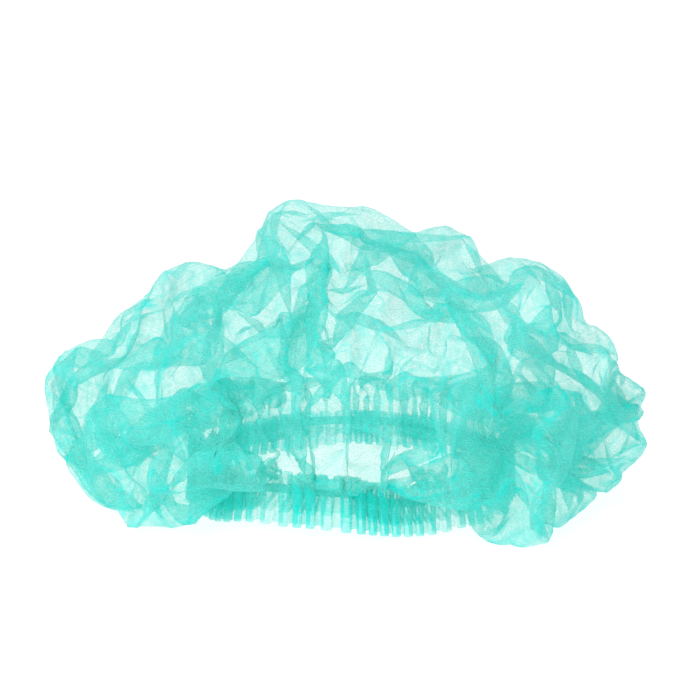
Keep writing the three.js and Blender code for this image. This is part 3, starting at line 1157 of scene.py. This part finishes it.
def build_stage(settings):
    """Plain pale floor, white surroundings, the soft panel and the camera."""
    stage = settings.stage
    corners = [(x * FLOOR_REACH, y * FLOOR_REACH, 0) for x, y in ((-1, -1), (1, -1), (1, 1), (-1, 1))]
    floor = mesh_object("floor", corners, [(0, 1, 2, 3)])
    # Painted studio board: pale, matt and even, and lit from below as a light table is.
    paint = bpy.data.materials.new("pale studio floor")
    paint.use_nodes = True
    sockets = paint.node_tree.nodes["Principled BSDF"].inputs
    sockets["Base Color"].default_value = (*settings.finish.floor, 1)
    sockets["Roughness"].default_value = 0.9
    sockets["Emission Color"].default_value = (1, 1, 1, 1)
    sockets["Emission Strength"].default_value = stage.floor_glow
    floor.data.materials.append(paint)
    scene = bpy.context.scene
    world = bpy.data.worlds.new("white studio")
    world.use_nodes = True
    world.node_tree.nodes["Background"].inputs["Color"].default_value = (1, 1, 1, 1)
    world.node_tree.nodes["Background"].inputs["Strength"].default_value = stage.world_light
    scene.world = world
    panel = bpy.data.lights.new("soft panel", "AREA")
    panel.shape = "DISK"
    panel.size = PANEL_WIDTH
    panel.energy = stage.panel_light
    soft = bpy.data.objects.new("soft panel", panel)
    scene.collection.objects.link(soft)
    soft.location = PANEL_PLACE
    soft.rotation_euler = (Vector(PANEL_FACES) - soft.location).to_track_quat("-Z", "Y").to_euler()
    lens = bpy.data.cameras.new("camera")
    camera = bpy.data.objects.new("camera", lens)
    scene.collection.objects.link(camera)
    back = Vector((0, -math.cos(stage.elevation), math.sin(stage.elevation)))
    camera.location = Vector((RIM_CENTRE.x, RIM_CENTRE.y, stage.target_height)) + back * stage.distance
    camera.rotation_euler = (math.pi / 2 - stage.elevation, 0, 0)
    lens.sensor_width = SENSOR_WIDTH
    lens.lens = lens.sensor_width * stage.distance / stage.view_width
    scene.camera = camera
    scene.view_settings.view_transform = "Standard"
    scene.cycles.transparent_max_bounces = CLOTH_LAYERS


class SURGICAL_CAP_OT_crown(bpy.types.Operator):
    """Makes the crown's crumpled cloth"""

    bl_idname = "surgical_cap.crown"
    bl_label = "Crown"

    def execute(self, context):
        build_crown(context.scene.surgical_cap)
        return {"FINISHED"}


class SURGICAL_CAP_OT_rim(bpy.types.Operator):
    """Makes the gathered rim with its frill"""

    bl_idname = "surgical_cap.rim"
    bl_label = "Rim"

    def execute(self, context):
        build_rim(context.scene.surgical_cap)
        return {"FINISHED"}


class SURGICAL_CAP_OT_elastic(bpy.types.Operator):
    """Makes the elastic in the rim"""

    bl_idname = "surgical_cap.elastic"
    bl_label = "Elastic"

    def execute(self, context):
        build_elastic(context.scene.surgical_cap)
        return {"FINISHED"}


class SURGICAL_CAP_OT_stage(bpy.types.Operator):
    """Makes the floor, the light and the camera"""

    bl_idname = "surgical_cap.stage"
    bl_label = "Stage"

    def execute(self, context):
        build_stage(context.scene.surgical_cap)
        return {"FINISHED"}


class SURGICAL_CAP_PT_sidebar(bpy.types.Panel):
    """Lists the cap's pieces and their sizes"""

    bl_label = "Surgical cap"
    bl_space_type = "VIEW_3D"
    bl_region_type = "UI"
    bl_category = "Surgical cap"

    def draw(self, context):
        settings = context.scene.surgical_cap
        for name in ("stage", "crown", "rim", "elastic"):
            self.layout.operator(f"surgical_cap.{name}")
        for group in (settings.crown, settings.rim, settings.elastic, settings.finish, settings.stage):
            box = self.layout.box()
            for name in group.__annotations__:
                box.prop(group, name)


CLASSES = (
    CapCrownSettings,
    CapRimSettings,
    CapElasticSettings,
    CapFinishSettings,
    CapStageSettings,
    CapSettings,
    SURGICAL_CAP_OT_crown,
    SURGICAL_CAP_OT_rim,
    SURGICAL_CAP_OT_elastic,
    SURGICAL_CAP_OT_stage,
    SURGICAL_CAP_PT_sidebar,
)


def register():
    for cls in CLASSES:
        bpy.utils.register_class(cls)
    bpy.types.Scene.surgical_cap = PointerProperty(type=CapSettings)


def unregister():
    del bpy.types.Scene.surgical_cap
    for cls in reversed(CLASSES):
        bpy.utils.unregister_class(cls)


def main():
    register()
    bpy.ops.surgical_cap.stage()
    bpy.ops.surgical_cap.crown()
    bpy.ops.surgical_cap.rim()
    bpy.ops.surgical_cap.elastic()


if __name__ == "__main__":
    main()
